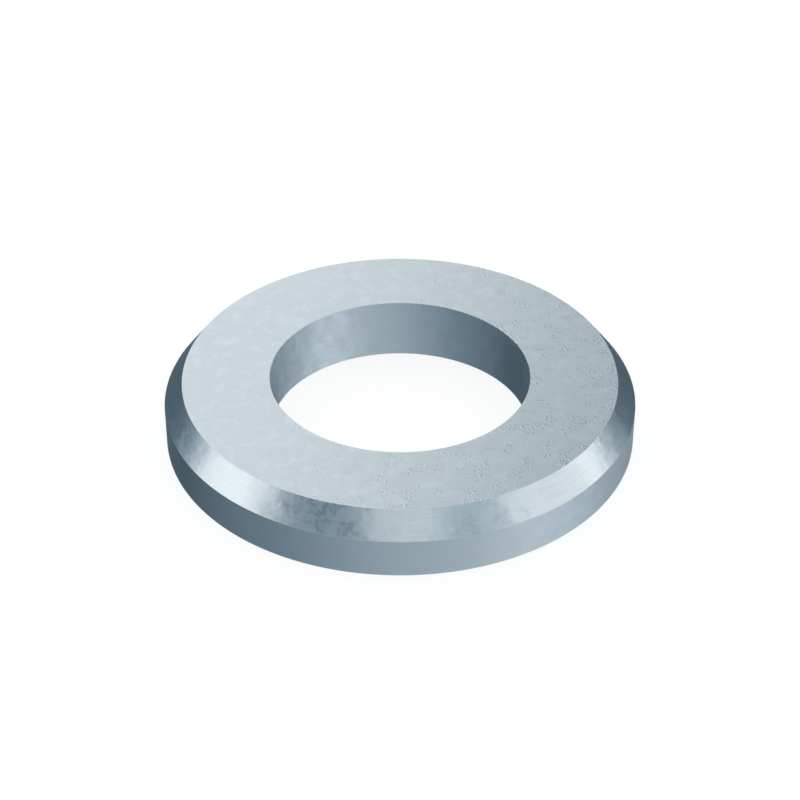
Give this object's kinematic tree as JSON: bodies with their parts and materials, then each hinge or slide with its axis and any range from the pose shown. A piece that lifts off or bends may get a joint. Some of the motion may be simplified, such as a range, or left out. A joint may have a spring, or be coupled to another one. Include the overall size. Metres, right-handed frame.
{
  "type": "chamfered flat washer",
  "caption": "Flat round zinc-plated washer with a plain bore and a chamfer round the outer edge of its top face, to spread a screw's or nut's load.",
  "frame": {"origin": "middle of the flat bearing face, on the bore's axis", "axes": "+Z along the bore's axis, from the bearing face up through the chamfered top face"},
  "size_m": [0.0118, 0.0118, 0.0016],
  "materials": {
    "zinc_plated_steel": "zinc plated and clear passivated: pale blue-grey metal, satin, faintly mottled and pitted"
  },
  "bodies": {
    "root": {"chamfered_washer": "zinc_plated_steel"}
  },
  "joints": []
}
